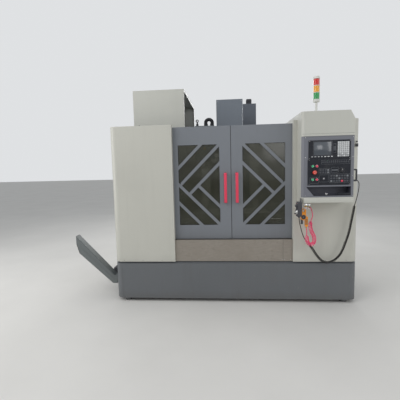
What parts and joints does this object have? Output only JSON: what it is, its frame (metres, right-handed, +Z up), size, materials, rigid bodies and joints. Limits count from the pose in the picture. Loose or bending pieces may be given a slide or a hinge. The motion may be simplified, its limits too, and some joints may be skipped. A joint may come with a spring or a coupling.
{
  "type": "cnc machining center",
  "caption": "Vertical machining centre in a sheet-metal cabin with sliding lattice-window doors, a side operator housing, tool magazine, chip lift, pendant and air gun",
  "frame": {"origin": "on the floor, at the centre of the four anchor holes in the levelling feet", "axes": "+X to the operator's right, +Y to the rear, +Z up"},
  "size_m": [3.218, 2.6358, 2.55],
  "materials": {
    "cream_paint": "semi-gloss, lightly soiled",
    "grey_paint": "semi-gloss",
    "dark_paint": "matt, soiled",
    "machine_paint": "semi-gloss",
    "stainless": "brushed and stained",
    "steel": "ground",
    "cover_steel": "worn",
    "black_plastic": "fine texture",
    "bezel_grey": "matt",
    "red_plastic": "glossy",
    "green_plastic": "glossy",
    "estop_red": "glossy",
    "window_glass": "hazy",
    "orange_plastic": "glossy",
    "hose_red": "glossy",
    "cord_black": "matt",
    "lamp_plastic": "translucent",
    "fitting_steel": "bright"
  },
  "bodies": {
    "machine_frame": {"levelling_feet": "dark_paint", "bed_casting": "machine_paint", "column_casting": "machine_paint", "base_tank": "dark_paint", "left_panel": "cream_paint", "right_panel": "cream_paint", "apron": "stainless", "door_tracks": "steel", "operator_housing": "cream_paint", "panel_bezel": "bezel_grey", "control_unit": "black_plastic", "operator_panel": "black_plastic", "electrical_cabinet": "cream_paint", "magazine_cover": "cream_paint", "magazine_frame": "machine_paint", "changer_unit": "machine_paint", "guide_rails": "steel", "axis_motors": "black_plastic", "z_drive_cover": "machine_paint", "tower_lamp": "lamp_plastic", "housing_fittings": "fitting_steel", "pendant_case": "black_plastic", "pendant_cord": "cord_black", "air_gun": "orange_plastic", "air_hose": "hose_red", "chip_trough": "dark_paint", "fixed_way_covers": "cover_steel"},
    "door_left": {"door_left_skin": "grey_paint", "door_left_window": "window_glass", "door_left_handle": "red_plastic"},
    "door_right": {"door_right_skin": "grey_paint", "door_right_window": "window_glass", "door_right_handle": "red_plastic"},
    "cross_slide": {"saddle": "machine_paint", "saddle_way_covers": "cover_steel", "x_motor": "black_plastic"},
    "work_table": {"table": "steel"},
    "x_drive": {"x_screw": "steel"},
    "y_drive": {"y_screw": "steel"},
    "z_drive": {"z_screw": "steel"},
    "head": {"head_casting": "machine_paint", "head_way_cover": "cover_steel", "spindle_cover": "machine_paint"},
    "tool_spindle": {"spindle": "steel"},
    "tool_disc": {"magazine_disc": "machine_paint"},
    "swap_arm": {"change_arm": "steel"},
    "front_cover": {"y_front_cover_mid": "cover_steel"},
    "rear_cover": {"y_rear_cover_mid": "cover_steel"},
    "z_cover": {"z_cover_mid": "cover_steel"},
    "estop": {"estop_button": "estop_red"},
    "cycle_start": {"cycle_start_button": "green_plastic"},
    "feed_hold": {"feed_hold_button": "red_plastic"},
    "power_on": {"power_on_button": "green_plastic"},
    "power_off": {"power_off_button": "red_plastic"},
    "override": {"override_knob": "black_plastic"},
    "handwheel": {"pendant_wheel": "fitting_steel"},
    "axis_knob": {"pendant_axis_knob": "black_plastic"},
    "gun_trigger": {"air_gun_trigger": "black_plastic"},
    "auger": {"chip_screw": "steel"},
    "rear_door": {"cabinet_door": "cream_paint"}
  },
  "joints": [
    {"name": "door_left_slide", "type": "slide", "parent": "machine_frame", "child": "door_left", "axis": [-1, 0, 0], "range_m": [0, 0.54]},
    {"name": "door_right_slide", "type": "slide", "parent": "machine_frame", "child": "door_right", "axis": [1, 0, 0], "range_m": [0, 0.54]},
    {"name": "y_axis", "type": "slide", "parent": "machine_frame", "child": "cross_slide", "axis": [0, 1, 0], "range_m": [-0.25, 0.25]},
    {"name": "x_axis", "type": "slide", "parent": "cross_slide", "child": "work_table", "axis": [1, 0, 0], "range_m": [-0.4, 0.4]},
    {"name": "z_axis", "type": "slide", "parent": "machine_frame", "child": "head", "axis": [0, 0, 1], "range_m": [-0.5, 0]},
    {"name": "x_screw_turn", "type": "hinge", "parent": "cross_slide", "child": "x_drive", "pos_m": [0, -0.3, 0.8], "axis": [1, 0, 0], "continuous": true},
    {"name": "y_screw_turn", "type": "hinge", "parent": "machine_frame", "child": "y_drive", "pos_m": [0, -0.3, 0.5], "axis": [0, 1, 0], "continuous": true},
    {"name": "z_screw_turn", "type": "hinge", "parent": "machine_frame", "child": "z_drive", "pos_m": [0, 0.295, 1.5], "axis": [0, 0, 1], "continuous": true},
    {"name": "spindle_turn", "type": "hinge", "parent": "head", "child": "tool_spindle", "pos_m": [0, -0.3, 1.7], "axis": [0, 0, 1], "continuous": true},
    {"name": "magazine_turn", "type": "hinge", "parent": "machine_frame", "child": "tool_disc", "pos_m": [-0.85, -0.3, 2], "axis": [1, 0, 0], "continuous": true},
    {"name": "arm_turn", "type": "hinge", "parent": "machine_frame", "child": "swap_arm", "pos_m": [-0.31, -0.3, 1.53], "axis": [0, 0, -1], "range_deg": [0, 90]},
    {"name": "front_cover_slide", "type": "slide", "parent": "machine_frame", "child": "front_cover", "axis": [0, 1, 0], "range_m": [-0.125, 0.125]},
    {"name": "rear_cover_slide", "type": "slide", "parent": "machine_frame", "child": "rear_cover", "axis": [0, 1, 0], "range_m": [-0.125, 0.125]},
    {"name": "z_cover_slide", "type": "slide", "parent": "machine_frame", "child": "z_cover", "axis": [0, 0, 1], "range_m": [-0.25, 0]},
    {"name": "estop_press", "type": "slide", "parent": "machine_frame", "child": "estop", "axis": [0, 1, 0], "range_m": [0, 0.004], "stiffness_N_per_m": 600},
    {"name": "cycle_start_press", "type": "slide", "parent": "machine_frame", "child": "cycle_start", "axis": [0, 1, 0], "range_m": [0, 0.004], "stiffness_N_per_m": 600},
    {"name": "feed_hold_press", "type": "slide", "parent": "machine_frame", "child": "feed_hold", "axis": [0, 1, 0], "range_m": [0, 0.004], "stiffness_N_per_m": 600},
    {"name": "power_on_press", "type": "slide", "parent": "machine_frame", "child": "power_on", "axis": [0, 1, 0], "range_m": [0, 0.004], "stiffness_N_per_m": 600},
    {"name": "power_off_press", "type": "slide", "parent": "machine_frame", "child": "power_off", "axis": [0, 1, 0], "range_m": [0, 0.004], "stiffness_N_per_m": 600},
    {"name": "override_turn", "type": "hinge", "parent": "machine_frame", "child": "override", "pos_m": [1.097, -1.35, 1.466], "axis": [0, -1, 0], "range_deg": [-120, 120]},
    {"name": "handwheel_turn", "type": "hinge", "parent": "machine_frame", "child": "handwheel", "pos_m": [0.6607, -1.35, 1.053], "axis": [-1, 0, 0], "continuous": true},
    {"name": "axis_knob_turn", "type": "hinge", "parent": "machine_frame", "child": "axis_knob", "pos_m": [0.6607, -1.37, 1.113], "axis": [-1, 0, 0], "range_deg": [-60, 60]},
    {"name": "trigger_pull", "type": "hinge", "parent": "machine_frame", "child": "gun_trigger", "pos_m": [0.733, -1.262, 0.97], "axis": [0, -1, 0], "range_deg": [0, 15], "stiffness_Nm_per_rad": 1},
    {"name": "chip_screw_turn", "type": "hinge", "parent": "machine_frame", "child": "auger", "pos_m": [-1.412, -1, 0.225], "axis": [-0.7071, 0, 0.7071], "continuous": true},
    {"name": "rear_door_swing", "type": "hinge", "parent": "machine_frame", "child": "rear_door", "pos_m": [0.505, 1.1973, 1], "axis": [0, 0, -1], "range_deg": [0, 110]}
  ],
  "couplings": [
    {"joint": "x_screw_turn", "follows": "x_axis", "rad_per_m": 392.7},
    {"joint": "y_screw_turn", "follows": "y_axis", "rad_per_m": 392.7},
    {"joint": "z_screw_turn", "follows": "z_axis", "rad_per_m": 392.7},
    {"joint": "front_cover_slide", "follows": "y_axis", "ratio": 0.5},
    {"joint": "rear_cover_slide", "follows": "y_axis", "ratio": 0.5},
    {"joint": "z_cover_slide", "follows": "z_axis", "ratio": 0.5}
  ]
}
